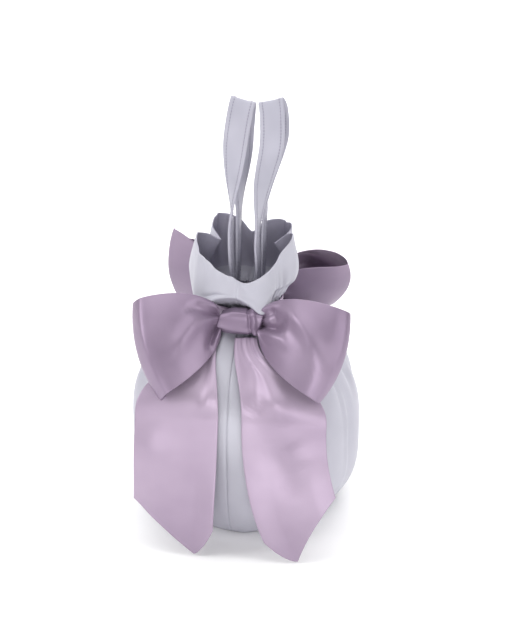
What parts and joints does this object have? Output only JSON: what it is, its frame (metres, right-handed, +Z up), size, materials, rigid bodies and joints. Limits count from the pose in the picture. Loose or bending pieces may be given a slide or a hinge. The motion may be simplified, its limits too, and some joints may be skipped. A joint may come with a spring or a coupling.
{
  "type": "flower girl basket",
  "caption": "Soft satin pouch basket with a gathered neck, a standing ruffle collar, strap handles and wide ribbon bows with hanging tails.",
  "frame": {"origin": "bottom centre of the bounding box, on the surface that the bag stands on", "axes": "+Z up through the handles; -Y towards the front bow; +X to the right seen from the front"},
  "size_m": [0.202, 0.237, 0.3693],
  "materials": {
    "satin": "pale silver lilac satin, soft sheen",
    "strap": "folded satin strap, topstitched near both edges",
    "lining": "smooth grey lining cloth",
    "ribbon": "mauve satin ribbon, strong soft sheen",
    "elastic": "white covered elastic",
    "board": "matte bag board"
  },
  "bodies": {
    "bag": {"base_fabric": "satin", "base_board": "board", "lining_base": "lining", "outer_panel_left": "satin", "outer_panel_right": "satin", "lining_left": "lining", "lining_right": "lining", "collar_left": "satin", "collar_right": "satin", "handle_left_front_end": "strap", "handle_left_back_end": "strap", "handle_right_front_end": "strap", "handle_right_back_end": "strap", "neck_elastic": "elastic", "neck_band": "ribbon", "front_bow_knot": "ribbon", "front_bow_loop_left": "ribbon", "front_bow_loop_right": "ribbon", "front_tail_left_upper": "ribbon", "front_tail_right_upper": "ribbon", "back_bow_knot": "ribbon", "back_bow_loop_left": "ribbon", "back_bow_loop_right": "ribbon", "back_tail_left_upper": "ribbon", "back_tail_right_upper": "ribbon"},
    "handle_left": {"handle_left_loop": "strap"},
    "handle_right": {"handle_right_loop": "strap"},
    "front_left_tail": {"front_tail_left": "ribbon"},
    "front_right_tail": {"front_tail_right": "ribbon"},
    "back_left_tail": {"back_tail_left": "ribbon"},
    "back_right_tail": {"back_tail_right": "ribbon"}
  },
  "joints": [
    {"name": "handle_left_swing", "type": "hinge", "parent": "bag", "child": "handle_left", "pos_m": [-0.009, 0, 0.255], "axis": [0, 1, 0], "range_deg": [-75, 0]},
    {"name": "handle_right_swing", "type": "hinge", "parent": "bag", "child": "handle_right", "pos_m": [0.013, 0, 0.255], "axis": [0, 1, 0], "range_deg": [0, 75]},
    {"name": "front_tail_left_lift", "type": "hinge", "parent": "bag", "child": "front_left_tail", "pos_m": [-0.042, -0.1, 0.122], "axis": [-1, 0, 0], "range_deg": [0, 60]},
    {"name": "front_tail_right_lift", "type": "hinge", "parent": "bag", "child": "front_right_tail", "pos_m": [0.046, -0.1, 0.122], "axis": [-1, 0, 0], "range_deg": [0, 60]},
    {"name": "back_tail_left_lift", "type": "hinge", "parent": "bag", "child": "back_left_tail", "pos_m": [-0.044, 0.1, 0.122], "axis": [1, 0, 0], "range_deg": [0, 60]},
    {"name": "back_tail_right_lift", "type": "hinge", "parent": "bag", "child": "back_right_tail", "pos_m": [0.044, 0.1, 0.122], "axis": [1, 0, 0], "range_deg": [0, 60]}
  ]
}
